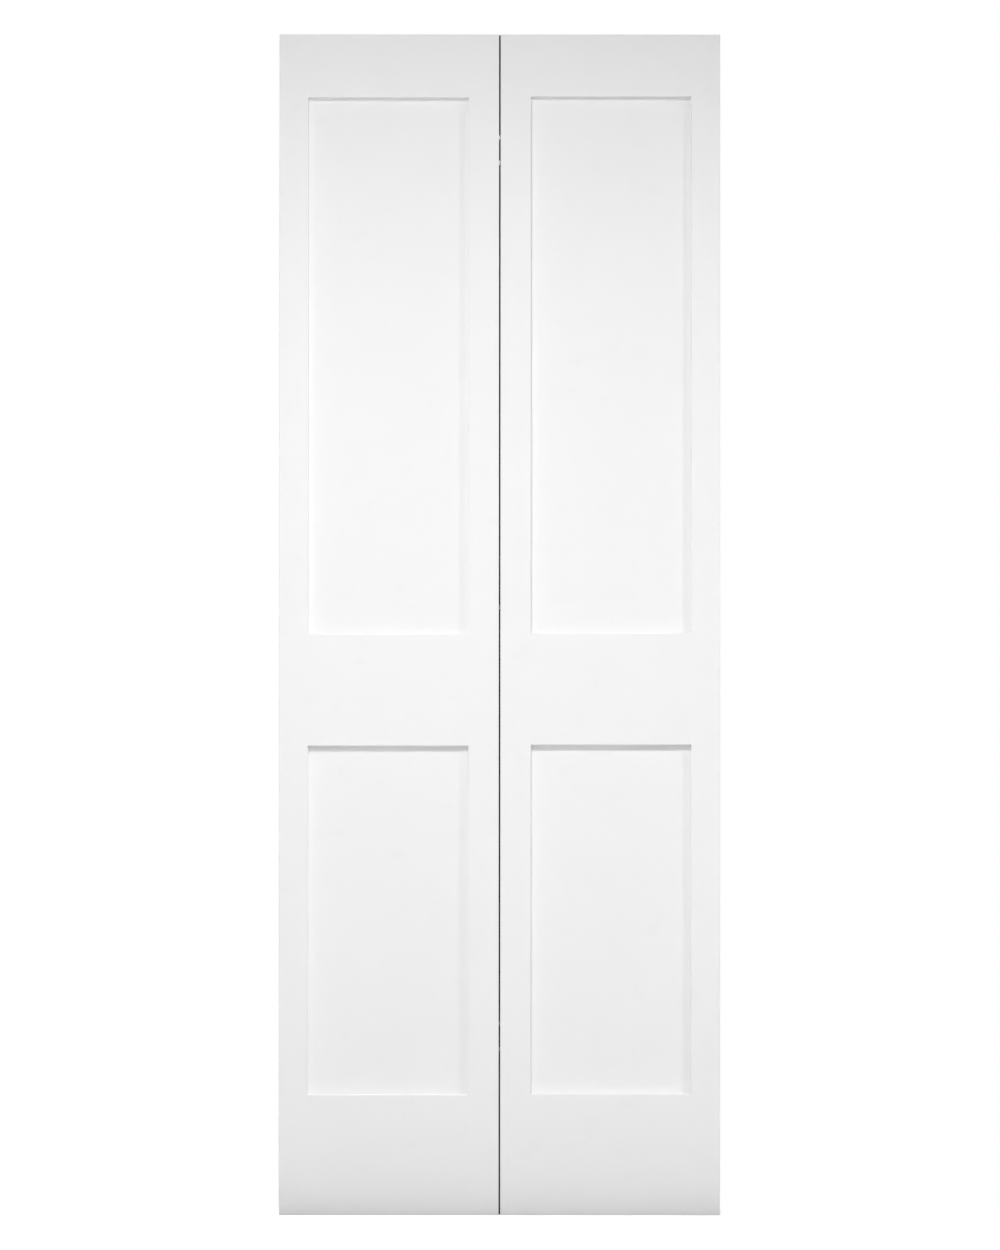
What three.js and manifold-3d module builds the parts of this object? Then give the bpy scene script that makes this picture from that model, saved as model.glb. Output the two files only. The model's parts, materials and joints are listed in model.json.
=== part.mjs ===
// A bifold closet door, shut flat: two narrow flat-panel leaves hinged edge to edge.
// Each leaf is a frame of two stiles and three rails, tenoned together round two floating panels.
// The pivot leaf, on the left, turns on a fixed pin in its bottom edge and a sprung pin in its top
// edge. The lead leaf folds back to back against it, and its sprung guide pin runs in a track.
// Millimetres. +X runs right across the opening, +Y into the closet and +Z up. The origin is the
// middle of the bottom pivot pin's tip, level with the door's bottom edge.
import * as THREE from "three";
import { mergeVertices } from "three/addons/utils/BufferGeometryUtils.js";
import Module from "manifold-3d";

const wasm = await Module();
wasm.setup();

// The whole door.
const doorHeight = 2006.6;
const doorWidth = 749.3;
const leafGap = 2.5;
const leafThickness = 34.9;

// The frame of one leaf. The lead leaf's rails stand a little higher than the pivot leaf's.
const outerStileWidth = 49.1;
const hingeStileWidth = 52;
const bottomRailHeight = 204.3;
const lowerPanelOpening = 592.7;
const lockRailHeight = 189.2;
const topRailHeight = 107.1;
const leadRailRise = 1.8;

// The panels, the grooves that hold them and the rails' tongues in the same grooves.
const panelThickness = 12.7;
const panelPlay = 0.3;
const panelEdgeRoom = 1.5;
const grooveDepth = 9;
const tongueRoom = 0.5;
const glueLine = 0.1;

// The loose tenons between rails and stiles.
const tenonThickness = 9.5;
const tenonInStile = 19;
const tenonInRail = 31;
const tenonShoulder = 15;
const tenonSleeveRoom = 6;
const tenonFit = 0.1;
const tenonEndRoom = 0.5;

// The hinges: their places up the door, their plates and knuckles, and their pin.
const bottomHingeHeight = 302.5;
const middleHingeShare = 0.504;
const topHingeDrop = 195.5;
const plateHeight = 54;
const plateThickness = 2;
const plateSeat = 0.05;
const plateFrontInset = 8;
const plateFrontBar = 5;
const plateFrontTab = 9;
const plateBarSetback = 4;
const plateNotchHeight = 3.2;
const plateNotchDepth = 6.5;
const plateCornerRadius = 2;
const nestRoom = 0.4;
const knuckleRadius = 3.6;
const endKnuckleHeight = 10.6;
const barrelClearance = 0.4;
const hingePinRadius = 1.55;
const hingePinFit = 0.05;
const hingePinHeadRadius = 2.4;
const hingePinHeadHeight = 0.7;

// The countersunk wood screws that hold the hinge plates, set back from the leaf's rear face.
const screwLength = 16;
const screwHeadRadius = 3.3;
const screwHeadDepth = 1.7;
const screwShankRadius = 1.6;
const screwCoreRadius = 1.2;
const screwPlainLength = 4;
const screwThreadPitch = 2;
const screwTipLength = 3;
const screwFit = 0.1;
const crossRecessLength = 3.4;
const crossRecessWidth = 0.9;
const crossRecessDepth = 1.2;
const outerScrewSetback = 12;
const innerScrewSetback = 9;
const innerScrewSpacing = 16;

// The pivot and guide pins stand this far in from the leaves' outer edges, in flanged sleeves.
const pivotInset = 24.5;
const flangeRadius = 8.5;
const flangeThickness = 1.6;
const flangeEase = 0.4;
const sleeveFit = 0.1;
const pinFit = 0.1;

// The sprung pins of the top pivot and the guide, and the sleeves that they retract into.
const sprungPinRadius = 3.6;
const sprungPinChamfer = 0.8;
const sprungPinTravel = 12.7;
const pinStopRoom = 0.3;
const collarRadius = 4.4;
const collarHeight = 6;
const pinTailRadius = 1.8;
const pinTailLength = 9;
const sleeveWall = 1.1;
const sleeveNeck = 3;
const sleeveFloor = 2.2;
const guideTipLength = 10;
const guideSpigotRadius = 2;
const guideSpigotLength = 7;
const guideSpigotFit = 0.05;

// The springs under the sprung pins.
const springLength = 16;
const springMeanRadius = 3.4;
const springWireRadius = 0.45;
const springSeat = 0.3;

// The bottom pivot's fixed pin, fluted where a toothed socket grips it, and its sleeve.
const bottomPinRadius = 4.75;
const bottomPinLength = 40;
const bottomPinChamfer = 1;
const bottomPinFluteRadius = 1.1;
const bottomPinFluteLength = 6;
const bottomSleeveWall = 1.5;
const bottomSleeveFloor = 3;

// How far a cutter runs past the face that it opens.
const cutOverrun = 1;

// Counts of sides, steps and copies.
const roundSides = 24;
const screwSides = 10;
const cornerSteps = 3;
const tenonEndSteps = 8;
const bottomPinFlutes = 8;
const fluteSides = 8;
const springTurns = 8;
const springStepsPerTurn = 8;
const springWireSides = 5;

// Sizes that follow, in a leaf's own frame: x from its outer edge to its hinge edge, y from the
// middle of its thickness, z from its bottom edge.
const leafWidth = (doorWidth - leafGap) / 2;
const halfThickness = leafThickness / 2;
const hingeStileInnerEdge = leafWidth - hingeStileWidth;
const grooveWidth = panelThickness + 2 * panelPlay;
const panelEdgeDepth = grooveDepth - panelEdgeRoom;
const barrelX = leafWidth + leafGap / 2;
const barrelY = halfThickness + barrelClearance + knuckleRadius;

// The hinge plates, whose own y is 0 on the barrel's axis.
const plateHalfHeight = plateHeight / 2;
const plateFront = plateFrontInset - halfThickness - barrelY;
const windowFront = plateFront + plateBarSetback + plateFrontBar;
const windowHalfHeight = plateHalfHeight - endKnuckleHeight;
const innerPlateHalfHeight = windowHalfHeight - nestRoom;
const outerScrewHeight = plateHalfHeight - endKnuckleHeight / 2;
const innerScrewHeight = innerScrewSpacing / 2;

// The sprung pins and sleeves, measured down from their mouth.
const sprungBoreRadius = collarRadius + pinFit;
const sprungSleeveRadius = sprungBoreRadius + sleeveWall;
const collarTop = sleeveNeck + sprungPinTravel + pinStopRoom;
const collarFoot = collarTop + collarHeight;
const springTop = collarFoot + springSeat;
const springFoot = springTop + springLength;
const sprungSleeveDepth = springFoot + springSeat + sleeveFloor;

// The bottom pin's sleeve, measured up from its mouth.
const bottomBoreRadius = bottomPinRadius + pinFit;
const bottomSleeveRadius = bottomBoreRadius + bottomSleeveWall;
const bottomBoreDepth = bottomPinLength + pinStopRoom;
const bottomSleeveDepth = bottomBoreDepth + bottomSleeveFloor;

const finishes = {
  primer: { color: 0xf4f4f2, roughness: 0.55, metalness: 0 },
  timber: { color: 0xc9a878, roughness: 0.8, metalness: 0 },
  dullZinc: { color: 0x9a9da0, roughness: 0.5, metalness: 0.8 },
  zinc: { color: 0xc4c6c8, roughness: 0.35, metalness: 0.9 },
  steel: { color: 0xa8aaad, roughness: 0.4, metalness: 0.95 },
  nylon: { color: 0xe9e8e2, roughness: 0.5, metalness: 0 },
};

// A closed three.js geometry as a solid that can be cut and joined.
function solidOf(geometry) {
  const bare = geometry.clone();
  bare.deleteAttribute("normal");
  bare.deleteAttribute("uv");
  const merged = mergeVertices(bare);
  return new wasm.Manifold(
    new wasm.Mesh({
      numProp: 3,
      vertProperties: merged.attributes.position.array,
      triVerts: new Uint32Array(merged.index.array),
    }),
  );
}

// The block between two opposite corners, given in either order.
function block(a, b) {
  const size = a.map((start, axis) => Math.abs(b[axis] - start));
  const middle = a.map((start, axis) => (start + b[axis]) / 2);
  return solidOf(new THREE.BoxGeometry(...size).translate(...middle));
}

// A body turned about +Z from an outline of [radius, height] points, from axis to axis.
function turned(outline, sides) {
  const profile = outline.map(([radius, height]) => new THREE.Vector2(radius, height));
  return solidOf(new THREE.LatheGeometry(profile, sides).rotateX(Math.PI / 2));
}

// A round bar about +Z between two heights.
function bar(radius, low, high, sides) {
  return turned([[0, low], [radius, low], [radius, high], [0, high]], sides);
}

// A sheet whose outline is [y, z] points and whose thickness runs along x, between two places.
function sheet(outline, a, b) {
  const shape = new THREE.Shape(outline.map(([y, z]) => new THREE.Vector2(y, z)));
  const depth = Math.abs(b - a);
  const geometry = new THREE.ExtrudeGeometry(shape, { depth, bevelEnabled: false });
  const alongY = new THREE.Vector3(0, 1, 0);
  const alongZ = new THREE.Vector3(0, 0, 1);
  const alongX = new THREE.Vector3(1, 0, 0);
  geometry.applyMatrix4(new THREE.Matrix4().makeBasis(alongY, alongZ, alongX));
  return solidOf(geometry.translate(Math.min(a, b), 0, 0));
}

// Points [y, z] on an arc about a centre, from one angle to another.
function arc(y, z, radius, from, to, steps) {
  return Array.from({ length: steps + 1 }, (_, step) => {
    const angle = from + ((to - from) * step) / steps;
    return [y + radius * Math.cos(angle), z + radius * Math.sin(angle)];
  });
}

// A bar along x with flat sides and round top and bottom, such as a tenon or the mortise for it.
function roundEndedBar(a, b, low, high, thickness) {
  const radius = thickness / 2;
  const top = arc(0, high - radius, radius, 0, Math.PI, tenonEndSteps);
  const bottom = arc(0, low + radius, radius, Math.PI, 2 * Math.PI, tenonEndSteps);
  return sheet([...top, ...bottom], a, b);
}

function cut(solid, cutters) {
  return cutters.reduce((rest, cutter) => rest.subtract(cutter), solid);
}

// A solid as a named mesh with its own material.
function piece(name, solid, finish) {
  const made = solid.getMesh();
  const geometry = new THREE.BufferGeometry();
  geometry.setAttribute("position", new THREE.BufferAttribute(made.vertProperties, made.numProp));
  geometry.setIndex(new THREE.BufferAttribute(made.triVerts, 1));
  geometry.computeVertexNormals();
  const mesh = new THREE.Mesh(geometry, new THREE.MeshStandardMaterial(finishes[finish]));
  mesh.name = name;
  return mesh;
}

function placed(object, x, y, z) {
  object.position.set(x, y, z);
  return object;
}

// Sprung pins, their sleeves and springs. Each stands with its mouth at z = 0 and runs down.

function flangedSleeve(radius, depth, bore) {
  return turned(
    [
      [0, -depth],
      [radius, -depth],
      [radius, -flangeThickness],
      [flangeRadius, -flangeThickness],
      [flangeRadius, -flangeEase],
      [flangeRadius - flangeEase, 0],
      ...bore,
    ],
    roundSides,
  );
}

// The stepped hole in the leaf's edge that takes a flanged sleeve.
function sleeveHole(radius, depth) {
  return turned(
    [
      [0, -depth - sleeveFit],
      [radius + sleeveFit, -depth - sleeveFit],
      [radius + sleeveFit, -flangeThickness - sleeveFit],
      [flangeRadius + sleeveFit, -flangeThickness - sleeveFit],
      [flangeRadius + sleeveFit, cutOverrun],
      [0, cutOverrun],
    ],
    roundSides,
  );
}

// The neck stops the pin's collar, and the wide bore below it holds the collar and the spring.
function sprungSleeve(name) {
  const neckRadius = sprungPinRadius + pinFit;
  const bore = [
    [neckRadius, 0],
    [neckRadius, -sleeveNeck],
    [sprungBoreRadius, -sleeveNeck],
    [sprungBoreRadius, sleeveFloor - sprungSleeveDepth],
    [0, sleeveFloor - sprungSleeveDepth],
  ];
  return piece(name, flangedSleeve(sprungSleeveRadius, sprungSleeveDepth, bore), "zinc");
}

// The collar and tail that every sprung pin has below its shank.
function pinWithCollar(shank) {
  return turned(
    [
      [0, -collarFoot - pinTailLength],
      [pinTailRadius, -collarFoot - pinTailLength],
      [pinTailRadius, -collarFoot],
      [collarRadius, -collarFoot],
      [collarRadius, -collarTop],
      [sprungPinRadius, -collarTop],
      ...shank,
    ],
    roundSides,
  );
}

// The end of a sprung pin or of its tip: a flat face inside a chamfer.
const pinEnd = [
  [sprungPinRadius, -sprungPinChamfer],
  [sprungPinRadius - sprungPinChamfer, 0],
  [0, 0],
];

function topPivotPin() {
  return piece("top_pivot_pin", pinWithCollar(pinEnd), "steel");
}

// The guide pin ends in a thin spigot, over which its nylon tip is pressed.
function guidePin() {
  const shank = [
    [sprungPinRadius, -guideTipLength - guideSpigotFit],
    [guideSpigotRadius, -guideTipLength - guideSpigotFit],
    [guideSpigotRadius, guideSpigotLength - guideTipLength],
    [0, guideSpigotLength - guideTipLength],
  ];
  return piece("guide_pin", pinWithCollar(shank), "steel");
}

function guideTip() {
  const socketRadius = guideSpigotRadius + guideSpigotFit;
  const socketTop = guideSpigotLength + guideSpigotFit - guideTipLength;
  const outline = [
    [0, socketTop],
    [socketRadius, socketTop],
    [socketRadius, -guideTipLength],
    [sprungPinRadius, -guideTipLength],
    ...pinEnd,
  ];
  return piece("guide_tip", turned(outline, roundSides), "nylon");
}

class Helix extends THREE.Curve {
  getPoint(share) {
    const angle = 2 * Math.PI * springTurns * share;
    const low = springWireRadius - springFoot;
    const climb = springLength - 2 * springWireRadius;
    return new THREE.Vector3(
      springMeanRadius * Math.cos(angle),
      springMeanRadius * Math.sin(angle),
      low + climb * share,
    );
  }
}

function spring(name) {
  const round = arc(0, 0, springWireRadius, 0, 2 * Math.PI, springWireSides).slice(1);
  const wire = new THREE.Shape(round.map(([x, y]) => new THREE.Vector2(x, y)));
  const geometry = new THREE.ExtrudeGeometry(wire, {
    steps: springTurns * springStepsPerTurn,
    extrudePath: new Helix(),
  });
  return piece(name, solidOf(geometry), "steel");
}

// The bottom pivot, in the same frame as the sprung pins, to be turned upside down.

function bottomPivotPin() {
  const shank = turned(
    [
      [0, -bottomPinLength],
      [bottomPinRadius - bottomPinChamfer, -bottomPinLength],
      [bottomPinRadius, bottomPinChamfer - bottomPinLength],
      [bottomPinRadius, -bottomPinChamfer],
      [bottomPinRadius - bottomPinChamfer, 0],
      [0, 0],
    ],
    roundSides,
  );
  const flutes = Array.from({ length: bottomPinFlutes }, (_, flute) => {
    const angle = (2 * Math.PI * flute) / bottomPinFlutes;
    return bar(bottomPinFluteRadius, -bottomPinFluteLength, cutOverrun, fluteSides).translate([
      bottomPinRadius * Math.cos(angle),
      bottomPinRadius * Math.sin(angle),
      0,
    ]);
  });
  return piece("bottom_pivot_pin", cut(shank, flutes), "steel");
}

function bottomPivotSleeve() {
  const bore = [
    [bottomBoreRadius, 0],
    [bottomBoreRadius, -bottomBoreDepth],
    [0, -bottomBoreDepth],
  ];
  const solid = flangedSleeve(bottomSleeveRadius, bottomSleeveDepth, bore);
  return piece("bottom_pivot_sleeve", solid, "nylon");
}

// Screws, which stand with the head's face at z = 0 and run down.

function screwHole() {
  const holeRadius = screwShankRadius + screwFit;
  const rimRadius = screwHeadRadius + screwFit;
  return turned(
    [
      [0, -screwLength - screwFit],
      [holeRadius, -screwLength - screwFit],
      [holeRadius, -screwHeadDepth],
      [rimRadius, 0],
      [rimRadius, cutOverrun],
      [0, cutOverrun],
    ],
    screwSides,
  );
}

function screw(name) {
  const threadFoot = screwTipLength - screwLength;
  const threadLength = screwLength - screwTipLength - screwPlainLength;
  const rings = Math.max(1, Math.floor(threadLength / screwThreadPitch));
  const thread = Array.from({ length: rings }, (_, ring) => {
    const foot = threadFoot + ring * screwThreadPitch;
    return [
      [screwCoreRadius, foot],
      [screwShankRadius, foot + screwThreadPitch / 2],
    ];
  });
  const solid = turned(
    [
      [0, -screwLength],
      ...thread.flat(),
      [screwCoreRadius, threadFoot + rings * screwThreadPitch],
      [screwShankRadius, -screwPlainLength],
      [screwShankRadius, -screwHeadDepth],
      [screwHeadRadius, 0],
      [0, 0],
    ],
    screwSides,
  );
  const long = crossRecessLength / 2;
  const wide = crossRecessWidth / 2;
  const recess = [
    block([-long, -wide, -crossRecessDepth], [long, wide, cutOverrun]),
    block([-wide, -long, -crossRecessDepth], [wide, long, cutOverrun]),
  ];
  return piece(name, cut(solid, recess), "dullZinc");
}

// Hinge plates. x runs from the edge that a plate is screwed to, and the barrel stands at y = 0.

// An outline from its upper half, whose points run from the barrel to the front.
function mirroredOutline(upper) {
  const lower = upper.map(([y, z]) => [y, -z]).reverse();
  return [...upper, ...lower];
}

function frontCorner(front, halfHeight) {
  const y = front + plateCornerRadius;
  const z = halfHeight - plateCornerRadius;
  return arc(y, z, plateCornerRadius, Math.PI / 2, Math.PI, cornerSteps);
}

// A plate with its knuckles, drilled for the hinge pin and for its screws.
function drilledPlate(outline, knuckles, screwPlaces) {
  const axis = leafGap / 2 - plateSeat;
  const flat = sheet(outline, 0, plateThickness);
  const barrel = knuckles.map(([low, high]) => bar(knuckleRadius, low, high, roundSides));
  const joined = barrel.reduce((solid, knuckle) => solid.add(knuckle.translate([axis, 0, 0])), flat);
  const pinHole = bar(
    hingePinRadius + hingePinFit,
    -plateHalfHeight - cutOverrun,
    plateHalfHeight + cutOverrun,
    roundSides,
  );
  const screwHoles = screwPlaces.map(([y, z]) =>
    screwHole().rotate([0, 90, 0]).translate([plateThickness, y - barrelY, z]),
  );
  return cut(joined, [pinHole.translate([axis, 0, 0]), ...screwHoles]);
}

// The outer plate runs round the inner one: two lobes with a knuckle each, joined by a bar whose
// front is set back between two notches.
function outerPlate(name, screwPlaces) {
  const tabFoot = plateHalfHeight - plateFrontTab;
  const notchFoot = tabFoot - plateNotchHeight;
  const outline = mirroredOutline([
    [windowFront, windowHalfHeight],
    [0, windowHalfHeight],
    [0, plateHalfHeight],
    ...frontCorner(plateFront, plateHalfHeight),
    [plateFront, tabFoot],
    [plateFront + plateNotchDepth, tabFoot],
    [plateFront + plateNotchDepth, notchFoot],
    [plateFront + plateBarSetback, notchFoot],
  ]);
  const knuckles = [
    [windowHalfHeight, plateHalfHeight],
    [-plateHalfHeight, -windowHalfHeight],
  ];
  return piece(name, drilledPlate(outline, knuckles, screwPlaces), "dullZinc");
}

function innerPlate(name, screwPlaces) {
  const outline = mirroredOutline([
    [0, innerPlateHalfHeight],
    ...frontCorner(windowFront + nestRoom, innerPlateHalfHeight),
  ]);
  const knuckles = [[-innerPlateHalfHeight, innerPlateHalfHeight]];
  return piece(name, drilledPlate(outline, knuckles, screwPlaces), "dullZinc");
}

function hingePin(name) {
  const shankEnd = plateHalfHeight + hingePinFit;
  const solid = turned(
    [
      [0, -shankEnd - hingePinHeadHeight],
      [hingePinRadius, -shankEnd - hingePinHeadHeight],
      [hingePinHeadRadius, -shankEnd],
      [hingePinRadius, -shankEnd],
      [hingePinRadius, shankEnd],
      [hingePinHeadRadius, shankEnd],
      [hingePinRadius, shankEnd + hingePinHeadHeight],
      [0, shankEnd + hingePinHeadHeight],
    ],
    roundSides,
  );
  return piece(name, solid, "steel");
}

// Leaves, in the leaf's own frame.

// The three rails, with the heights of their tenons and of the edges that a panel enters.
function railsOf(rise) {
  const lowerFoot = bottomRailHeight + rise;
  const lowerHead = lowerFoot + lowerPanelOpening;
  const upperFoot = lowerHead + lockRailHeight;
  const upperHead = doorHeight - topRailHeight + rise;
  return {
    bottom_rail: {
      low: 0,
      high: lowerFoot,
      tenon: [bottomSleeveDepth + tenonSleeveRoom, lowerFoot - tenonShoulder],
      panelEdges: [lowerFoot],
    },
    lock_rail: {
      low: lowerHead,
      high: upperFoot,
      tenon: [lowerHead + tenonShoulder, upperFoot - tenonShoulder],
      panelEdges: [lowerHead, upperFoot],
    },
    top_rail: {
      low: upperHead,
      high: doorHeight,
      tenon: [upperHead + tenonShoulder, doorHeight - sprungSleeveDepth - tenonSleeveRoom],
      panelEdges: [upperHead],
    },
  };
}

// The two stiles: where their inner edge is, and which way the rails lie from it.
const stiles = {
  outer: { edge: 0, innerEdge: outerStileWidth, towardRails: 1 },
  hinge: { edge: leafWidth, innerEdge: hingeStileInnerEdge, towardRails: -1 },
};

// The loose tenon across one joint, or with a fit the two mortises that take it.
function tenonSolid(stile, [low, high], fit, endRoom) {
  const inStile = stile.innerEdge - stile.towardRails * (tenonInStile + endRoom);
  const inRail = stile.innerEdge + stile.towardRails * (tenonInRail + endRoom);
  return roundEndedBar(inStile, inRail, low - fit, high + fit, tenonThickness + 2 * fit);
}

function mortises(stile, rails) {
  return rails.map((rail) => tenonSolid(stile, rail.tenon, tenonFit, tenonEndRoom));
}

// A stile, grooved down its whole inner edge and mortised for the rails.
function stileSolid(stile, rails, holes) {
  const whole = block([stile.edge, -halfThickness, 0], [stile.innerEdge, halfThickness, doorHeight]);
  const groove = block(
    [stile.innerEdge - stile.towardRails * grooveDepth, -grooveWidth / 2, -cutOverrun],
    [stile.innerEdge + stile.towardRails * cutOverrun, grooveWidth / 2, doorHeight + cutOverrun],
  );
  return cut(whole, [groove, ...mortises(stile, rails), ...holes]);
}

// A rail, with a tongue at each end that fills the stile's groove, and grooved for its panels.
function railSolid(rail) {
  const start = outerStileWidth + glueLine;
  const end = hingeStileInnerEdge - glueLine;
  const tongueReach = grooveDepth - tongueRoom;
  const tongueHalf = grooveWidth / 2 - glueLine;
  const body = block([start, -halfThickness, rail.low], [end, halfThickness, rail.high]);
  const tongues = block(
    [outerStileWidth - tongueReach, -tongueHalf, rail.low],
    [hingeStileInnerEdge + tongueReach, tongueHalf, rail.high],
  );
  const grooves = rail.panelEdges.map((edge) => {
    const inward = edge === rail.high ? -1 : 1;
    return block(
      [outerStileWidth - grooveDepth - cutOverrun, -grooveWidth / 2, edge - inward * cutOverrun],
      [hingeStileInnerEdge + grooveDepth + cutOverrun, grooveWidth / 2, edge + inward * grooveDepth],
    );
  });
  const joints = Object.values(stiles).flatMap((stile) => mortises(stile, [rail]));
  return cut(body.add(tongues), [...grooves, ...joints]);
}

// A panel between two rails, its four edges in the grooves round it.
function panelSolid(below, above) {
  return block(
    [outerStileWidth - panelEdgeDepth, -panelThickness / 2, below.high - panelEdgeDepth],
    [hingeStileInnerEdge + panelEdgeDepth, panelThickness / 2, above.low + panelEdgeDepth],
  );
}

// One leaf's woodwork, cut for the sleeves in its ends and for the screws of its hinge plates.
function leafFrame(leaf, rise, sleeveHoles, screwPlaces) {
  const rails = railsOf(rise);
  const list = Object.values(rails);
  const screwHoles = screwPlaces.map(([y, z]) =>
    screwHole().rotate([0, 90, 0]).translate([leafWidth + plateSeat + plateThickness, y, z]),
  );
  const group = new THREE.Group();
  group.add(
    piece(`${leaf}_outer_stile`, stileSolid(stiles.outer, list, sleeveHoles), "primer"),
    piece(`${leaf}_hinge_stile`, stileSolid(stiles.hinge, list, screwHoles), "primer"),
    piece(`${leaf}_lower_panel`, panelSolid(rails.bottom_rail, rails.lock_rail), "primer"),
    piece(`${leaf}_upper_panel`, panelSolid(rails.lock_rail, rails.top_rail), "primer"),
  );
  for (const [name, rail] of Object.entries(rails)) {
    group.add(piece(`${leaf}_${name}`, railSolid(rail), "primer"));
    for (const [side, stile] of Object.entries(stiles)) {
      const tenon = tenonSolid(stile, rail.tenon, 0, 0);
      group.add(piece(`${leaf}_${name}_${side}_tenon`, tenon, "timber"));
    }
  }
  return group;
}

// The door, put together.

const hinges = {
  bottom_hinge: bottomHingeHeight,
  middle_hinge: doorHeight * middleHingeShare,
  top_hinge: doorHeight - topHingeDrop,
};

// The [y, z] places of one plate's two screws in the leaf's own frame.
function platePair(setback, spacing, height) {
  return [
    [halfThickness - setback, height + spacing],
    [halfThickness - setback, height - spacing],
  ];
}

// One plate of each hinge with its screws, on a leaf whose frame is cut to match.
function addPlates(leaf, kind, makePlate, setback, spacing) {
  for (const [hinge, height] of Object.entries(hinges)) {
    const plate = makePlate(`${hinge}_${kind}_plate`, platePair(setback, spacing, 0));
    leaf.add(placed(plate, leafWidth + plateSeat, barrelY, height));
    for (const [index, [y, z]] of platePair(setback, spacing, height).entries()) {
      const place = index === 0 ? "upper" : "lower";
      const fixed = screw(`${hinge}_${kind}_${place}_screw`);
      fixed.rotation.y = Math.PI / 2;
      leaf.add(placed(fixed, leafWidth + plateSeat + plateThickness, y, z));
    }
  }
}

function allScrewPlaces(setback, spacing) {
  return Object.values(hinges).flatMap((height) => platePair(setback, spacing, height));
}

const topHole = sleeveHole(sprungSleeveRadius, sprungSleeveDepth);
const bottomHole = sleeveHole(bottomSleeveRadius, bottomSleeveDepth);
const topHolePlaced = topHole.translate([pivotInset, 0, doorHeight]);
const bottomHolePlaced = bottomHole.rotate([180, 0, 0]).translate([pivotInset, 0, 0]);

const pivotLeaf = leafFrame(
  "pivot_leaf",
  0,
  [topHolePlaced, bottomHolePlaced],
  allScrewPlaces(outerScrewSetback, outerScrewHeight),
);
const leadLeaf = leafFrame(
  "lead_leaf",
  leadRailRise,
  [topHolePlaced],
  allScrewPlaces(innerScrewSetback, innerScrewHeight),
);
addPlates(pivotLeaf, "outer", outerPlate, outerScrewSetback, outerScrewHeight);
addPlates(leadLeaf, "inner", innerPlate, innerScrewSetback, innerScrewHeight);
for (const [hinge, height] of Object.entries(hinges)) {
  pivotLeaf.add(placed(hingePin(`${hinge}_pin`), barrelX, barrelY, height));
}

const topPivot = new THREE.Group();
topPivot.add(topPivotPin(), sprungSleeve("top_pivot_sleeve"), spring("top_pivot_spring"));
pivotLeaf.add(placed(topPivot, pivotInset, 0, doorHeight));

const bottomPivot = new THREE.Group();
bottomPivot.add(bottomPivotPin(), bottomPivotSleeve());
bottomPivot.rotation.x = Math.PI;
pivotLeaf.add(placed(bottomPivot, pivotInset, 0, 0));

const guide = new THREE.Group();
guide.add(guidePin(), guideTip(), sprungSleeve("guide_sleeve"), spring("guide_spring"));
leadLeaf.add(placed(guide, pivotInset, 0, doorHeight));

const door = new THREE.Group();
door.name = "bifold_closet_door";
door.add(placed(pivotLeaf, -pivotInset, 0, 0));
leadLeaf.scale.x = -1;
door.add(placed(leadLeaf, doorWidth - pivotInset, 0, 0));

export default door;
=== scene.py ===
# A bifold closet door, shut flat: two narrow flat-panel leaves in white primer, hinged edge to edge.
# Metres. +X runs right across the opening, +Y runs into the closet and +Z is up.
import json
import math

import bmesh
import bpy
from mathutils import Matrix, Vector, noise

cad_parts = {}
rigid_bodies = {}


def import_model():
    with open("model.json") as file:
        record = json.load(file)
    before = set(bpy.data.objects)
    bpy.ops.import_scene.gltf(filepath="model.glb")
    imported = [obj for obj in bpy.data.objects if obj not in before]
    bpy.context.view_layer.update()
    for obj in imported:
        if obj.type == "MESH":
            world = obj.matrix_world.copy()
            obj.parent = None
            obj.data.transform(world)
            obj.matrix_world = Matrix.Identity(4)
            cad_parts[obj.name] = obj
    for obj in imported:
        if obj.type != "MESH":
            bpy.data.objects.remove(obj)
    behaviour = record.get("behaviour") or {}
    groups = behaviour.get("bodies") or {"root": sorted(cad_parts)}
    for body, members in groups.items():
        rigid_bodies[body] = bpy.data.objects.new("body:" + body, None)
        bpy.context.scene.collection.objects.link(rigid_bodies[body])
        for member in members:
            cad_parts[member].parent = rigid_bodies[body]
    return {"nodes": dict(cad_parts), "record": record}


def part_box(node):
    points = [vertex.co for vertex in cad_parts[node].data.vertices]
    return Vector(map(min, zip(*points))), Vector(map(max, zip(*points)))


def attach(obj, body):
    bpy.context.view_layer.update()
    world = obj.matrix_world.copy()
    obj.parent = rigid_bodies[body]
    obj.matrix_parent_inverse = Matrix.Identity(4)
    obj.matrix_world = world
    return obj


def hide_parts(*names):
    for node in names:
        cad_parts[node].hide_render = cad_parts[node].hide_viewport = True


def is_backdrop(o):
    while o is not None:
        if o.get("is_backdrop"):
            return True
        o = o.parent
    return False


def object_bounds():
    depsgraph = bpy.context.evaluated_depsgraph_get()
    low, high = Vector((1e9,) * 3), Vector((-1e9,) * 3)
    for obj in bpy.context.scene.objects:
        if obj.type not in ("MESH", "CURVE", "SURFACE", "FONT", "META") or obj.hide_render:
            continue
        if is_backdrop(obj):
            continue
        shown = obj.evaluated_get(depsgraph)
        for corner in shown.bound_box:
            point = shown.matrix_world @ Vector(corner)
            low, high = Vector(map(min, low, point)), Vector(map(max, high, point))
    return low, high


for old in list(bpy.data.objects):
    bpy.data.objects.remove(old)
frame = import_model()
cad_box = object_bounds()
record = frame["record"]
scene = bpy.context.scene
scene.view_settings.view_transform = "Standard"

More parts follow.
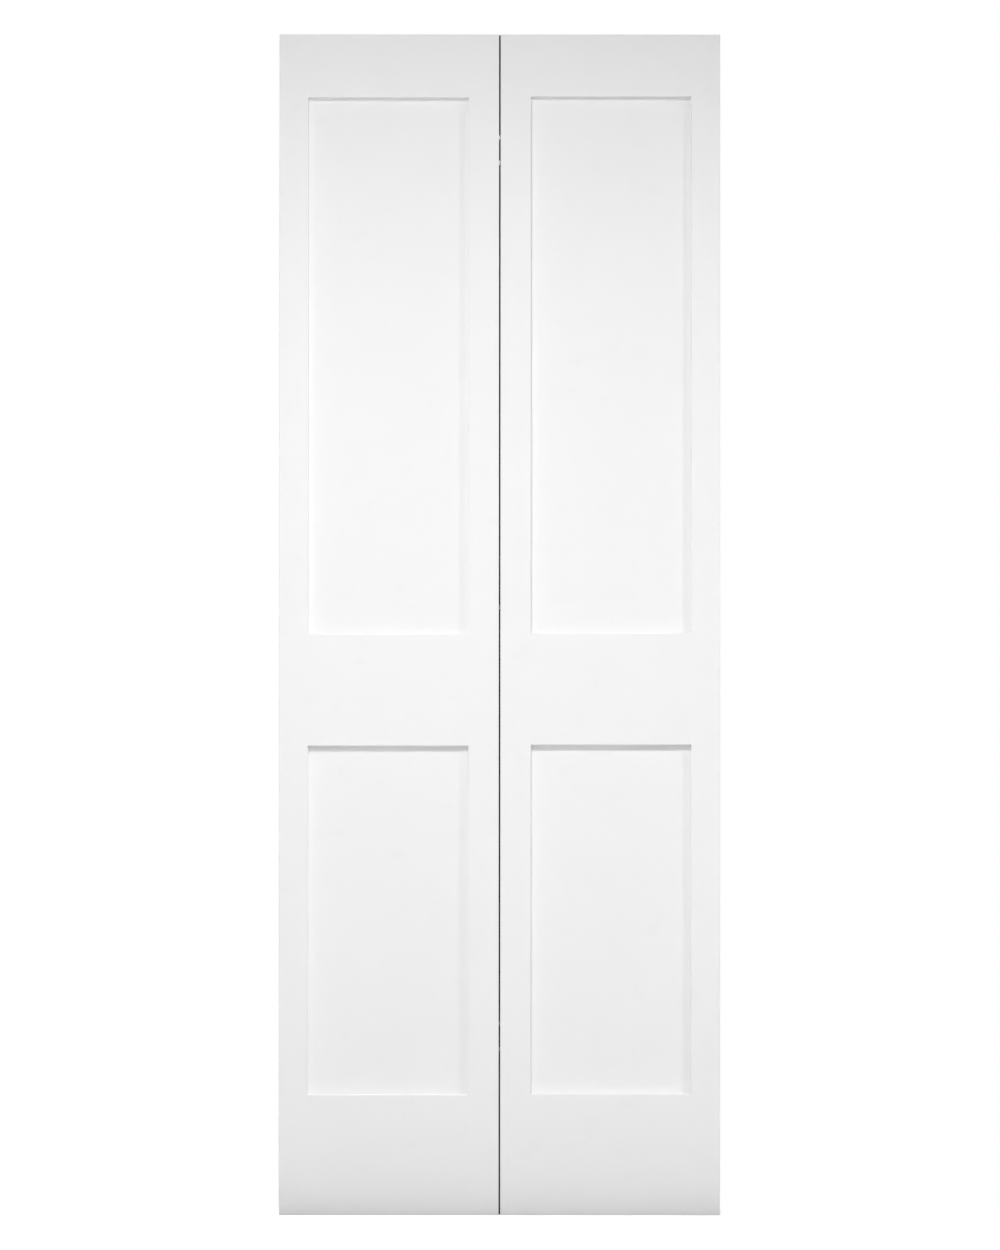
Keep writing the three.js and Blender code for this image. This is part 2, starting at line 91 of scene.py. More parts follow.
# Camera
# The door is seen square on, from a little under half its height and far enough off that its sides
# stay upright. A slight upward pitch makes the foot of the door a hair wider than its head.
PHOTO_HEIGHT_PX = 1250
PHOTO_METRES_PER_PX = 0.0016991
CAMERA_DISTANCE = 5.0
CAMERA_REACH = 100
CAMERA_PITCH = math.radians(0.2)
CAMERA_ROLL = math.radians(-0.03)
CAMERA_RIGHT_OF_MIDDLE = 0.0007
CAMERA_BELOW_MIDDLE = 0.0009
SENSOR_MM = 36

middle = (cad_box[0] + cad_box[1]) / 2
camera = bpy.data.objects.new("camera", bpy.data.cameras.new("camera"))
scene.collection.objects.link(camera)
camera.data.sensor_width = SENSOR_MM
camera.data.lens = SENSOR_MM * CAMERA_DISTANCE / (PHOTO_HEIGHT_PX * PHOTO_METRES_PER_PX)
camera.data.clip_end = CAMERA_REACH
camera.rotation_euler = (math.pi / 2 + CAMERA_PITCH, CAMERA_ROLL, 0)
camera.location = (
    middle.x + CAMERA_RIGHT_OF_MIDDLE,
    cad_box[0].y - CAMERA_DISTANCE,
    middle.z - CAMERA_BELOW_MIDDLE - CAMERA_DISTANCE * math.tan(CAMERA_PITCH),
)
scene.camera = camera

# Stiles and rails
# Each leaf is a frame of two stiles and three rails, planed square, grooved along the inner edges
# and glued up on loose tenons. The faces are filled, sanded flush and sprayed with white primer, so
# no joint shows, and only the arrises that stay open are eased with sandpaper.
LEAVES = ("pivot_leaf", "lead_leaf")
RAILS = ("bottom_rail", "lock_rail", "top_rail")
X, Y, Z = range(3)
ARRIS = 0.0011
ARRIS_STEPS = 4
ROUND_PROFILE = 0.5
GLUE_LINE = 0.0001
WELD = 0.00001
NEAR = 0.00003
FLAT = math.radians(0.5)
SMOOTH_UNDER = math.radians(35)
SQUARE_MM = 0.000001

PRIMER_LIGHT = (0.885, 0.885, 0.885, 1)
PRIMER_DARK = (0.878, 0.878, 0.878, 1)
PRIMER_SMUDGE = (0.84, 0.84, 0.835, 1)
PRIMER_ROUGHNESS = (0.46, 0.54)
PRIMER_SPECULAR = 0.3
PRIMER_MOTTLE = 0.05
PRIMER_PEEL = 0.0014
PRIMER_NAP = 0.00035
PRIMER_PEEL_DEPTH = 0.000035
PRIMER_NAP_DEPTH = 0.00001
SMUDGE_SIZE = 0.035
SMUDGE_FADE = (0.63, 0.78)
SMUDGE_SHARE = 0.4
MOTTLE_DETAIL = 4
NOISE_DETAIL = 2
FINE_DETAIL = 1
NOISE_MIDDLE = (0.3, 0.7)

body_of = {node: body for body, nodes in record["behaviour"]["bodies"].items() for node in nodes}


def new_material(name):
    """A material with its shader, its node tree and the object's own coordinates in metres."""
    material = bpy.data.materials.new(name)
    material.use_nodes = True
    tree = material.node_tree
    shader = tree.nodes["Principled BSDF"]
    place = tree.nodes.new("ShaderNodeTexCoord").outputs["Object"]
    return material, tree, shader, place


def linked(tree, kind, inputs, **settings):
    """A new node whose inputs are numbers or other nodes' outputs."""
    node = tree.nodes.new(kind)
    for name, value in settings.items():
        setattr(node, name, value)
    for name, value in inputs.items():
        if isinstance(value, bpy.types.NodeSocket):
            tree.links.new(value, node.inputs[name])
        else:
            node.inputs[name].default_value = value
    return node


def noise_of(tree, place, size, detail=NOISE_DETAIL):
    """Noise whose patches are about size metres across."""
    inputs = {"Vector": place, "Scale": 1 / size, "Detail": detail}
    return linked(tree, "ShaderNodeTexNoise", inputs).outputs["Fac"]


def ranged(tree, value, start, end, kind="LINEAR"):
    """A number that runs through the end range as another runs through the start range."""
    inputs = {"Value": value}
    inputs["From Min"], inputs["From Max"] = start
    inputs["To Min"], inputs["To Max"] = end
    return linked(tree, "ShaderNodeMapRange", inputs, interpolation_type=kind).outputs["Result"]


def blended(tree, share, first, second):
    """A colour between two, by a noise."""
    ramp = tree.nodes.new("ShaderNodeValToRGB")
    for stop, position, colour in zip(ramp.color_ramp.elements, NOISE_MIDDLE, (first, second)):
        stop.position = position
        stop.color = colour
    tree.links.new(share, ramp.inputs["Fac"])
    return ramp.outputs["Color"]


def bumped(tree, height, depth, under=None):
    """A normal from a noise as deep as depth metres, on top of another normal."""
    inputs = {"Height": height, "Distance": depth}
    if under is not None:
        inputs["Normal"] = under
    return linked(tree, "ShaderNodeBump", inputs).outputs["Normal"]


def smudged(tree, place, colour):
    """A colour with a few faint smudges from handling."""
    dirt = noise_of(tree, place, SMUDGE_SIZE)
    share = ranged(tree, dirt, SMUDGE_FADE, (0, SMUDGE_SHARE))
    mixed = linked(tree, "ShaderNodeMix", {"Factor": share}, data_type="RGBA")
    tree.links.new(colour, mixed.inputs["A"])
    mixed.inputs["B"].default_value = PRIMER_SMUDGE
    return mixed.outputs["Result"]


def primer_material(name):
    """Sprayed primer: low sheen, faint mottle, orange peel over the nap of the sanded surface."""
    material, tree, shader, place = new_material(name)
    mottle = noise_of(tree, place, PRIMER_MOTTLE, MOTTLE_DETAIL)
    peel = noise_of(tree, place, PRIMER_PEEL)
    nap = noise_of(tree, place, PRIMER_NAP, FINE_DETAIL)
    colour = smudged(tree, place, blended(tree, mottle, PRIMER_DARK, PRIMER_LIGHT))
    tree.links.new(colour, shader.inputs["Base Color"])
    sheen = ranged(tree, mottle, NOISE_MIDDLE, PRIMER_ROUGHNESS)
    tree.links.new(sheen, shader.inputs["Roughness"])
    normal = bumped(tree, nap, PRIMER_NAP_DEPTH, bumped(tree, peel, PRIMER_PEEL_DEPTH))
    tree.links.new(normal, shader.inputs["Normal"])
    shader.inputs["Specular IOR Level"].default_value = PRIMER_SPECULAR
    return material


def welded(node):
    """A node's mesh with its corners joined and its flat faces whole."""
    mesh = bmesh.new()
    mesh.from_mesh(frame["nodes"][node].data)
    bmesh.ops.remove_doubles(mesh, verts=mesh.verts, dist=WELD)
    bmesh.ops.dissolve_limit(mesh, angle_limit=FLAT, verts=mesh.verts, edges=mesh.edges)
    return mesh


def shade_evenly(data):
    """Sets corner normals that leave broad faces flat and round the narrow ones between them."""
    faces_at = [[] for _ in data.vertices]
    for face in data.polygons:
        for corner in face.vertices:
            faces_at[corner].append(face)
    normals = []
    for face in data.polygons:
        for corner in face.vertices:
            near = [n for n in faces_at[corner] if n.normal.angle(face.normal, 0) < SMOOTH_UNDER]
            weighted = (n.normal * (n.area / SQUARE_MM) ** 2 for n in near)
            normals.append(sum(weighted, Vector()).normalized())
    data.polygons.foreach_set("use_smooth", [True] * len(data.polygons))
    data.normals_split_custom_set(normals)


def finished(name, mesh, node, material):
    """Makes a mesh into the piece that stands for a node, with its finish and body, and hides the
    node.
    """
    data = bpy.data.meshes.new(name)
    mesh.to_mesh(data)
    mesh.free()
    shade_evenly(data)
    data.materials.append(material)
    piece = bpy.data.objects.new(name, data)
    scene.collection.objects.link(piece)
    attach(piece, body_of[node])
    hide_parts(node)


def ease(mesh, is_open, width, steps=ARRIS_STEPS):
    """Rounds the edges for which is_open is true."""
    edges = [edge for edge in mesh.edges if is_open(*[v.co for v in edge.verts])]
    bmesh.ops.bevel(
        mesh,
        geom=edges,
        offset=width,
        segments=steps,
        profile=ROUND_PROFILE,
        affect="EDGES",
        clamp_overlap=True,
    )


def along(fixed, spans=None):
    """A test for edges that hold the fixed coordinates, and whose middle is in one of the z spans."""

    def test(a, b):
        """Whether the edge between two corners is one of them."""
        held = all(abs(v[axis] - value) < NEAR for v in (a, b) for axis, value in fixed.items())
        height = (a.z + b.z) / 2
        return held and (spans is None or any(low < height < high for low, high in spans))

    return test


def panel_openings(leaf):
    """The heights between which each of a leaf's two panels shows."""
    bottom, lock, top = (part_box(f"{leaf}_{rail}") for rail in RAILS)
    return [(bottom[1].z, lock[0].z), (lock[1].z, top[0].z)]


def stile_piece(leaf, side, material):
    """A stile, eased along every edge that stays open once the rails and panels are in."""
    node = f"{leaf}_{side}_stile"
    low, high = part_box(node)
    rail_low, rail_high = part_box(f"{leaf}_lock_rail")
    rails_on_right = rail_low.x + rail_high.x > low.x + high.x
    inner, outer = (high.x, low.x) if rails_on_right else (low.x, high.x)
    openings = panel_openings(leaf)
    mesh = welded(node)
    for opening in openings:
        for height in opening:
            parts = mesh.verts[:] + mesh.edges[:] + mesh.faces[:]
            bmesh.ops.bisect_plane(mesh, geom=parts, plane_co=(0, 0, height), plane_no=(0, 0, 1))
    tests = [along({Z: end, X: outer}) for end in (low.z, high.z)]
    for face in (low.y, high.y):
        tests.append(along({X: outer, Y: face}))
        tests.append(along({X: inner, Y: face}, openings))
        tests.extend(along({Z: end, Y: face}) for end in (low.z, high.z))
    ease(mesh, lambda a, b: any(test(a, b) for test in tests), ARRIS)
    finished(f"{node}_primed", mesh, node, material)


def rail_piece(leaf, rail, material):
    """A rail, its shoulders closed up to the stiles and its long edges eased."""
    node = f"{leaf}_{rail}"
    low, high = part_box(node)
    mesh = welded(node)
    stiles = [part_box(f"{leaf}_{side}_stile") for side in ("outer", "hinge")]
    _, *shoulders, _ = sorted(corner.x for box in stiles for corner in box)
    for vert in mesh.verts:
        for shoulder in shoulders:
            if abs(vert.co.x - shoulder) < GLUE_LINE + NEAR:
                vert.co.x = shoulder
    tests = [along({Y: face, Z: edge}) for face in (low.y, high.y) for edge in (low.z, high.z)]
    ease(mesh, lambda a, b: any(test(a, b) for test in tests), ARRIS)
    finished(f"{node}_primed", mesh, node, material)


frame_primer = primer_material("primed frame")
for leaf in LEAVES:
    for side in ("outer", "hinge"):
        stile_piece(leaf, side, frame_primer)
    for rail in RAILS:
        rail_piece(leaf, rail, frame_primer)

# Panels
# Each panel is a flat board that floats dry in the grooves of its frame, primed with it. Board of
# this size is never dead flat: it swells and sinks by up to about a tenth of a millimetre.
PANEL_STEP = 0.02
PANEL_SWELL = 0.00012
PANEL_SWELL_SIZE = 0.16
PANEL_FLAT_EDGE = 0.03


def panel_piece(node, material):
    """A panel as two slightly uneven faces of small squares, with a rim between them."""
    low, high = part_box(node)
    columns = round((high.x - low.x) / PANEL_STEP)
    rows = round((high.z - low.z) / PANEL_STEP)
    across = [low.x + (high.x - low.x) * column / columns for column in range(columns + 1)]
    upward = [low.z + (high.z - low.z) * row / rows for row in range(rows + 1)]
    mesh = bmesh.new()

    def swell(x, y, z):
        """How far a face stands out at a point, fading to nothing at its edges."""
        from_edge = min(x - low.x, high.x - x, z - low.z, high.z - z)
        fade = min(from_edge / PANEL_FLAT_EDGE, 1)
        return PANEL_SWELL * fade * noise.noise(Vector((x, y, z)) / PANEL_SWELL_SIZE)

    def grid(y):
        """The points of one face, row by row from its foot."""
        return [[mesh.verts.new((x, y + swell(x, y, z), z)) for x in across] for z in upward]

    def square(face, row, column):
        """The corners of one square of a face, once round from its lower left."""
        lower, upper = face[row], face[row + 1]
        return lower[column], lower[column + 1], upper[column + 1], upper[column]

    front, back = grid(low.y), grid(high.y)
    for row in range(rows):
        for column in range(columns):
            mesh.faces.new(square(front, row, column))
            mesh.faces.new(square(back, row, column)[::-1])

    def rim(face):
        """The outer points of a face, once round from its left foot."""
        right = [row[-1] for row in face[1:]]
        top = face[-1][-2::-1]
        left = [row[0] for row in face[-2:0:-1]]
        return face[0] + right + top + left

    front_rim, back_rim = rim(front), rim(back)
    for index, corner in enumerate(front_rim):
        after = (index + 1) % len(front_rim)
        mesh.faces.new((front_rim[after], corner, back_rim[index], back_rim[after]))
    finished(f"{node}_primed", mesh, node, material)


panel_primer = primer_material("primed panel")
for leaf in LEAVES:
    for panel in ("lower_panel", "upper_panel"):
        panel_piece(f"{leaf}_{panel}", panel_primer)

# Tenons
# A loose tenon of planed beech, rounded like the mortises that a router leaves, is glued across
# each of the twelve joints. None of it shows on a finished door.
BEECH_LIGHT = (0.62, 0.44, 0.26, 1)
BEECH_DARK = (0.5, 0.33, 0.18, 1)
BEECH_ROUGHNESS = (0.65, 0.8)
BEECH_RAY = 0.0012
BEECH_LENGTH = 0.03
BEECH_DETAIL = 3


def finish_node(node, material):
    """Gives a node of the frame its finish."""
    slots = frame["nodes"][node].data.materials
    slots.clear()
    slots.append(material)


def beech_material():
    """Planed beech, its grain along the length of the tenon."""
    material, tree, shader, place = new_material("beech")
    stretch = (BEECH_RAY / BEECH_LENGTH, 1, 1)
    stretched = linked(tree, "ShaderNodeMapping", {"Vector": place, "Scale": stretch})
    grain = noise_of(tree, stretched.outputs["Vector"], BEECH_RAY, BEECH_DETAIL)
    tree.links.new(blended(tree, grain, BEECH_DARK, BEECH_LIGHT), shader.inputs["Base Color"])
    sheen = ranged(tree, grain, NOISE_MIDDLE, BEECH_ROUGHNESS)
    tree.links.new(sheen, shader.inputs["Roughness"])
    return material


beech = beech_material()
for node in (name for name in frame["nodes"] if name.endswith("_tenon")):
    finish_node(node, beech)

# Hinge plates and screws
# Pressed steel plates, dull zinc-plated: the inner one nests in the window of the outer one, so shut
# they take one thickness of the gap, and their rolled knuckles stand behind the door. Each plate has
# two countersunk cross-head screws. The front of the top hinge's tabs carries a painted highlight: a
# bright, glossy zinc colour that stands in for the glint of the light there.
HINGES = ("bottom_hinge", "middle_hinge", "top_hinge")
PRESSED_EDGE = 0.00018
SCREW_EDGE = 0.0001
HARDWARE_EDGE_STEPS = 2
HARD_ANGLE = math.radians(40)
BARE_METALLIC = 1.0
DULL_ZINC_LIGHT = (0.28, 0.285, 0.29, 1)
DULL_ZINC_DARK = (0.19, 0.195, 0.2, 1)
DULL_ZINC_ROUGHNESS = (0.5, 0.65)
DULL_ZINC_METALLIC = 0.7
# Painted highlight on the top hinge's tabs: its colour, its sheen, how deep it reaches and its fade.
PAINTED_GLINT_ZINC = (0.95, 0.955, 0.96, 1)
PAINTED_GLINT_ROUGHNESS = 0.1
PAINTED_GLINT_DEPTH = 0.0008
PAINTED_GLINT_FADE = 0.0012
METAL_MOTTLE = 0.004
METAL_SCRATCH = 0.0003
METAL_SCRATCH_DEPTH = 0.000004


def scratched_metal(name, metallic):
    """A finely scratched metal, and the mottle that its colour and its sheen follow."""
    material, tree, shader, place = new_material(name)
    mottle = noise_of(tree, place, METAL_MOTTLE, MOTTLE_DETAIL)
    scratch = noise_of(tree, place, METAL_SCRATCH, FINE_DETAIL)
    tree.links.new(bumped(tree, scratch, METAL_SCRATCH_DEPTH), shader.inputs["Normal"])
    shader.inputs["Metallic"].default_value = metallic
    return material, tree, shader, place, mottle


def metal_material(name, light, dark, roughness, metallic=BARE_METALLIC):
    """Bare or plated metal, mottled in colour and sheen."""
    material, tree, shader, _, mottle = scratched_metal(name, metallic)
    tree.links.new(blended(tree, mottle, dark, light), shader.inputs["Base Color"])
    sheen = ranged(tree, mottle, NOISE_MIDDLE, roughness)
    tree.links.new(sheen, shader.inputs["Roughness"])
    return material


def painted_glint_zinc_material(front):
    """Dull zinc with a painted highlight on the tabs: bright, glossy colour from their front back to
    a small depth.
    """
    material, tree, shader, place, mottle = scratched_metal("zinc with painted glint", BARE_METALLIC)
    back = front + PAINTED_GLINT_DEPTH
    depth = linked(tree, "ShaderNodeSeparateXYZ", {"Vector": place}).outputs["Y"]
    dull = ranged(tree, depth, (back, back + PAINTED_GLINT_FADE), (0, 1))
    colour = linked(tree, "ShaderNodeMix", {"Factor": dull}, data_type="RGBA")
    colour.inputs["A"].default_value = PAINTED_GLINT_ZINC
    tree.links.new(blended(tree, mottle, DULL_ZINC_DARK, DULL_ZINC_LIGHT), colour.inputs["B"])
    tree.links.new(colour.outputs["Result"], shader.inputs["Base Color"])
    dull_sheen = ranged(tree, mottle, NOISE_MIDDLE, DULL_ZINC_ROUGHNESS)
    sheen = ranged(tree, dull, (0, 1), (PAINTED_GLINT_ROUGHNESS, dull_sheen))
    tree.links.new(sheen, shader.inputs["Roughness"])
    return material


def hardware_piece(node, suffix, material, edge):
    """A metal or plastic piece with each hard edge slightly rounded."""
    mesh = welded(node)
    hard = [e for e in mesh.edges if e.is_manifold and e.calc_face_angle() > HARD_ANGLE]
    ends = {frozenset(v.co.to_tuple() for v in e.verts) for e in hard}

    def is_hard(a, b):
        """Whether the edge between two corners is a hard one."""
        return frozenset((a.to_tuple(), b.to_tuple())) in ends

    ease(mesh, is_hard, edge, HARDWARE_EDGE_STEPS)
    finished(f"{node}_{suffix}", mesh, node, material)


dull_zinc = metal_material(
    "dull zinc", DULL_ZINC_LIGHT, DULL_ZINC_DARK, DULL_ZINC_ROUGHNESS, DULL_ZINC_METALLIC
)
# The top hinge's outer plate alone gets the painted highlight; every other plate is dull zinc.
painted_glint_zinc = painted_glint_zinc_material(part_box("top_hinge_outer_plate")[0].y)
for hinge in HINGES:
    for kind in ("outer", "inner"):
        plate = f"{hinge}_{kind}_plate"
        zinc = painted_glint_zinc if plate == "top_hinge_outer_plate" else dull_zinc
        hardware_piece(plate, "pressed", zinc, PRESSED_EDGE)
        for place in ("upper", "lower"):
            hardware_piece(f"{hinge}_{kind}_{place}_screw", "driven", dull_zinc, SCREW_EDGE)

# Hinge pins
# A pin of bright steel wire runs through the three knuckles of each hinge. It is spun over at both
# ends, so that it stays in.
STEEL_LIGHT = (0.62, 0.63, 0.64, 1)
STEEL_DARK = (0.48, 0.49, 0.5, 1)
STEEL_ROUGHNESS = (0.24, 0.42)
PIN_EDGE = 0.00012

steel = metal_material("bright steel", STEEL_LIGHT, STEEL_DARK, STEEL_ROUGHNESS)
for hinge in HINGES:
    hardware_piece(f"{hinge}_pin", "spun", steel, PIN_EDGE)

# Sprung pins of the top pivot and the guide
# Turned steel pins stand in zinc-plated sleeves, driven flush into the top edges. Each rests on a
# coil spring of steel wire, and its collar keeps it in the sleeve. The guide pin has a nylon tip.
ZINC_LIGHT = (0.72, 0.73, 0.75, 1)
ZINC_DARK = (0.6, 0.61, 0.64, 1)
ZINC_ROUGHNESS = (0.26, 0.42)
NYLON_LIGHT = (0.8, 0.79, 0.75, 1)
NYLON_DARK = (0.75, 0.74, 0.7, 1)
NYLON_ROUGHNESS = (0.4, 0.5)
NYLON_MOTTLE = 0.003
NYLON_MOULD = 0.0005
NYLON_MOULD_DEPTH = 0.000006


def nylon_material():
    """Moulded nylon, faintly mottled, with the fine grain that the mould leaves."""
    material, tree, shader, place = new_material("nylon")
    mottle = noise_of(tree, place, NYLON_MOTTLE)
    mould = noise_of(tree, place, NYLON_MOULD)
    tree.links.new(blended(tree, mottle, NYLON_DARK, NYLON_LIGHT), shader.inputs["Base Color"])
    sheen = ranged(tree, mottle, NOISE_MIDDLE, NYLON_ROUGHNESS)
    tree.links.new(sheen, shader.inputs["Roughness"])
    tree.links.new(bumped(tree, mould, NYLON_MOULD_DEPTH), shader.inputs["Normal"])
    return material


bright_zinc = metal_material("bright zinc", ZINC_LIGHT, ZINC_DARK, ZINC_ROUGHNESS)
nylon = nylon_material()
for name in ("top_pivot", "guide"):
    hardware_piece(f"{name}_sleeve", "plated", bright_zinc, PIN_EDGE)
    hardware_piece(f"{name}_pin", "turned", steel, PIN_EDGE)
    finish_node(f"{name}_spring", steel)
hardware_piece("guide_tip", "moulded", nylon, PIN_EDGE)

# Bottom pivot
# A steel pin, fluted where the toothed socket of the floor bracket grips it, stands in a flanged
# nylon sleeve that is driven flush into the foot of the outer stile. The leaf turns round it.
hardware_piece("bottom_pivot_sleeve", "moulded", nylon, PIN_EDGE)
hardware_piece("bottom_pivot_pin", "fluted", steel, PIN_EDGE)

# Floor and backdrop
# The door stands on white paper in front of a white backdrop that shows only to a camera in front.
# For the light it gives back, the paper is painted darker close to the door's foot, as painted shade
# there. A narrow dark strip in the gap, shown in the same way as the backdrop, is painted shade that
# makes the gap look deep, and clears once the leaves fold away from it.
FLOOR_SIZE = 16
FLOOR_PAPER = 0.6
FLOOR_SEEN = (1.35, 2.9)
FLOOR_SEEN_REACH = (1.5, 5.0)
FLOOR_MIRRORED = 2.9
# Painted shade on the paper by the door's foot: how far it reaches and how dark it is.
FOOT_SHADE_REACH = 0.1
FOOT_SHADE_LEVEL = 0.3
BACKDROP_BEHIND = 0.025
# The strip of painted shade in the gap: its place, width, when it clears, and its dark.
SHUT_IN_DEPTH = 0.008
SHUT_IN_STRIP = 0.006
SHUT_IN_REACH = 0.05
SHUT_IN_SHARES = (0.3, 0.6)
SHUT_IN_FADE = 0.1
SHUT_IN_SAMPLES = 16
PAINTED_GAP_SHADE = (0.005, 0.005, 0.005, 1)
PAPER_WHITE = (1, 1, 1, 1)


def worked_out(tree, operation, *numbers):
    """What one Math node makes of some numbers."""
    node = linked(tree, "ShaderNodeMath", dict(enumerate(numbers)), operation=operation)
    return node.outputs["Value"]


def looked_at(tree):
    """One for rays from the camera and for what surfaces mirror, none for rays that carry light."""
    path = tree.nodes.new("ShaderNodeLightPath")
    seen = worked_out(tree, "MAXIMUM", path.outputs["Is Camera Ray"], path.outputs["Is Glossy Ray"])
    return worked_out(tree, "MAXIMUM", seen, path.outputs["Is Transmission Ray"])


def place_of(tree):
    """The X, Y and Z of a point of the stage."""
    place = tree.nodes.new("ShaderNodeTexCoord").outputs["Object"]
    return linked(tree, "ShaderNodeSeparateXYZ", {"Vector": place}).outputs


def paper_tree(name):
    """An empty material, its node tree and the socket that its surface goes into."""
    material = bpy.data.materials.new(name)
    material.use_nodes = True
    tree = material.node_tree
    tree.nodes.clear()
    return material, tree, tree.nodes.new("ShaderNodeOutputMaterial").inputs["Surface"]


def seen_level(tree):
    """How bright the paper looks: mirrored, all alike, and to a camera, the more the further off."""
    place = tree.nodes.new("ShaderNodeTexCoord").outputs["Object"]
    away = linked(tree, "ShaderNodeVectorMath", {0: place}, operation="LENGTH").outputs["Value"]
    level = ranged(tree, away, FLOOR_SEEN_REACH, FLOOR_SEEN)
    path = tree.nodes.new("ShaderNodeLightPath")
    return ranged(tree, path.outputs["Is Camera Ray"], (0, 1), (FLOOR_MIRRORED, level))


def floor_material():
    """White paper that keeps the door's shadow, and is painted darker by the door's foot, as shade.
    """
    material, tree, surface = paper_tree("floor paper")
    door_front = cad_box[0].y
    # Painted shade: the colour that the paper gives back in light is darker near the door's foot.
    near_foot = (door_front - FOOT_SHADE_REACH, door_front)
    levels = (FLOOR_PAPER, FLOOR_PAPER * FOOT_SHADE_LEVEL)
    shaded = ranged(tree, place_of(tree)["Y"], near_foot, levels, "SMOOTHSTEP")
    colour = linked(tree, "ShaderNodeMix", {"Factor": looked_at(tree)}, data_type="RGBA")
    tree.links.new(shaded, colour.inputs["A"])
    tree.links.new(seen_level(tree), colour.inputs["B"])
    paper = linked(tree, "ShaderNodeBsdfDiffuse", {"Color": colour.outputs["Result"]})
    tree.links.new(paper.outputs["BSDF"], surface)
    return material


def painted_shade_share(tree):
    """Painted shade's share: one while the shut door covers the strip, none once the leaves fold
    away.
    """
    limit = ranged(tree, place_of(tree)["Z"], (0, SHUT_IN_REACH), SHUT_IN_SHARES)
    inputs = {"Distance": SHUT_IN_REACH}
    around = linked(tree, "ShaderNodeAmbientOcclusion", inputs, samples=SHUT_IN_SAMPLES)
    clear_from = worked_out(tree, "ADD", limit, SHUT_IN_FADE)
    return ranged(tree, around.outputs["AO"], (limit, clear_from), (1, 0))


def show_in_front(tree, surface, colour, share):
    """A colour that gives no light and is seen from in front alone, by a share that may vary."""
    plain = linked(tree, "ShaderNodeEmission", {"Color": colour})
    behind = tree.nodes.new("ShaderNodeNewGeometry").outputs["Backfacing"]
    front = worked_out(tree, "GREATER_THAN", looked_at(tree), behind)
    clear = tree.nodes.new("ShaderNodeBsdfTransparent").outputs["BSDF"]
    shown = worked_out(tree, "MULTIPLY", front, share)
    inputs = {"Fac": shown, 1: clear, 2: plain.outputs["Emission"]}
    tree.links.new(linked(tree, "ShaderNodeMixShader", inputs).outputs["Shader"], surface)


def backdrop_material():
    """Plain white paper, the same all over."""
    material, tree, surface = paper_tree("backdrop paper")
    show_in_front(tree, surface, PAPER_WHITE, 1.0)
    return material


def painted_gap_shade_material():
    """Painted shade: the dark that shows in the gap of the shut door."""
    material, tree, surface = paper_tree("painted gap shade")
    show_in_front(tree, surface, PAINTED_GAP_SHADE, painted_shade_share(tree))
    return material


def stage_plane(name, corners, material):
    """A flat piece of the stage, which is no part of the door."""
    data = bpy.data.meshes.new(name)
    data.from_pydata(corners, [], [range(len(corners))])
    data.materials.append(material)
    plane = bpy.data.objects.new(name, data)
    scene.collection.objects.link(plane)
    plane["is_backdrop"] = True


def upright(centre, width, depth, top):
    """The corners of an upright plane that stands on the floor and faces the room."""
    left, right = centre - width / 2, centre + width / 2
    foot = cad_box[0].z
    return [(left, depth, foot), (right, depth, foot), (right, depth, top), (left, depth, top)]


half = FLOOR_SIZE / 2
floor_z = cad_box[0].z
floor_sides = middle.x - half, middle.x + half
near_side = [(x, -half, floor_z) for x in floor_sides]
far_side = [(x, half, floor_z) for x in reversed(floor_sides)]
stage_plane("floor", near_side + far_side, floor_material())

wall_y = cad_box[1].y + BACKDROP_BEHIND
stage_plane("backdrop", upright(middle.x, FLOOR_SIZE, wall_y, half), backdrop_material())

# A strip of painted shade stands in the gap, a little behind the door's front.
pivot_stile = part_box("pivot_leaf_hinge_stile")
lead_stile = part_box("lead_leaf_hinge_stile")
gap_x = (pivot_stile[1].x + lead_stile[0].x) / 2
strip_y = pivot_stile[0].y + SHUT_IN_DEPTH
strip = upright(gap_x, SHUT_IN_STRIP, strip_y, cad_box[1].z)
stage_plane("painted_gap_shade_strip", strip, painted_gap_shade_material())

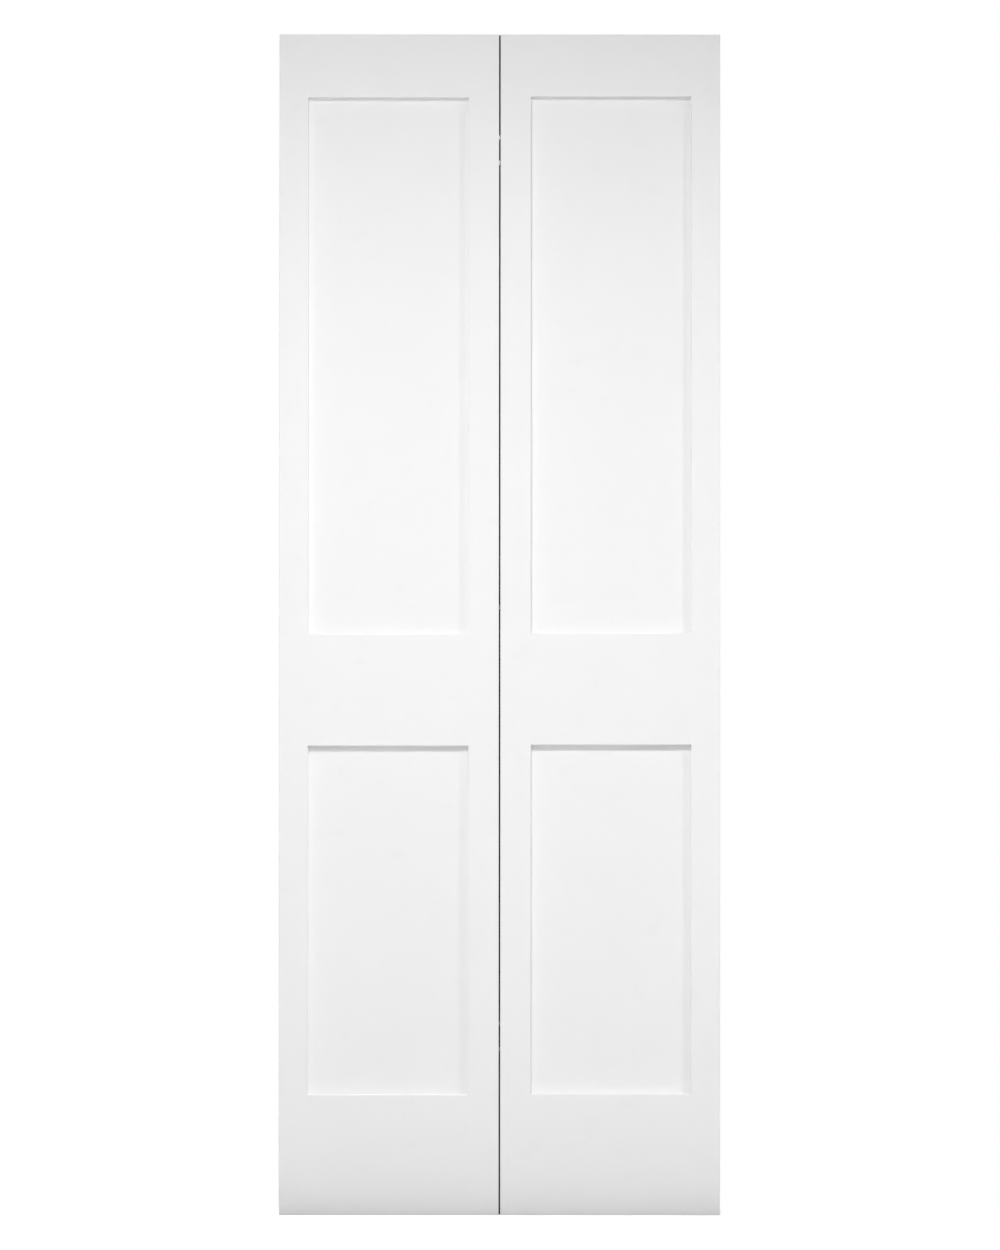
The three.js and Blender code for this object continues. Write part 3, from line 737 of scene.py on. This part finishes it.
# Lights
# A ceiling panel in front and a little left throws the short shadows under the rails, a small one
# on the right shades one side of each recess, and a weak lamp in front lifts the upper panels. A
# broad lamp behind lights the rear, and a pale room fills the rest.
ROOM_LIGHT = 0.35
KEY_PLACE = (-0.24, -2.2, 2.85)
KEY_AIM = (-0.24, -2.2, 0)
KEY_POWER = 56.859
KEY_SIZE = (0.25, 0.8)
KEY_SPREAD = math.radians(155)
FRONT_PLACE = (-0.5, -1.5, 1.5)
FRONT_AIM = (-0.3, 0, 1.4)
FRONT_POWER = 3.393
FRONT_SIZE = (0.5, 0.5)
RIGHT_PLACE = (2.08, -1.42, 2.3)
RIGHT_AIM = (1.75, -1.2, 0)
RIGHT_POWER = 24.0
RIGHT_SIZE = (0.3, 0.3)
BACK_PLACE = (-0.9, 3.4, 2.0)
BACK_AIM = (0, 0, 1.0)
BACK_POWER = 75
BACK_SIZE = (2.0, 2.0)


def lamp(name, place, aim, power, size, spread=math.pi):
    """A lamp aimed from one place at another, both measured from the front of the door's foot."""
    foot = Vector((middle.x, cad_box[0].y, 0))
    light = bpy.data.lights.new(name, "AREA")
    light.energy = power
    light.shape = "RECTANGLE"
    light.size, light.size_y = size
    light.spread = spread
    made = bpy.data.objects.new(name, light)
    made.location = foot + Vector(place)
    made.rotation_euler = (Vector(aim) - Vector(place)).to_track_quat("-Z", "Y").to_euler()
    made.visible_camera = False
    scene.collection.objects.link(made)


lamp("key_lamp", KEY_PLACE, KEY_AIM, KEY_POWER, KEY_SIZE, KEY_SPREAD)
lamp("front_lamp", FRONT_PLACE, FRONT_AIM, FRONT_POWER, FRONT_SIZE)
lamp("right_lamp", RIGHT_PLACE, RIGHT_AIM, RIGHT_POWER, RIGHT_SIZE)
lamp("back_lamp", BACK_PLACE, BACK_AIM, BACK_POWER, BACK_SIZE)

world = bpy.data.worlds.new("room")
scene.world = world
world.use_nodes = True
room = world.node_tree
room.nodes.clear()
level = ranged(room, looked_at(room), (0, 1), (ROOM_LIGHT, 1))
glow = linked(room, "ShaderNodeBackground", {"Color": PAPER_WHITE, "Strength": level})
sky = room.nodes.new("ShaderNodeOutputWorld")
room.links.new(glow.outputs["Background"], sky.inputs["Surface"])

boxes = {"cad": cad_box, "visual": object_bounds()}
{name: [list(corner) for corner in box] for name, box in boxes.items()}
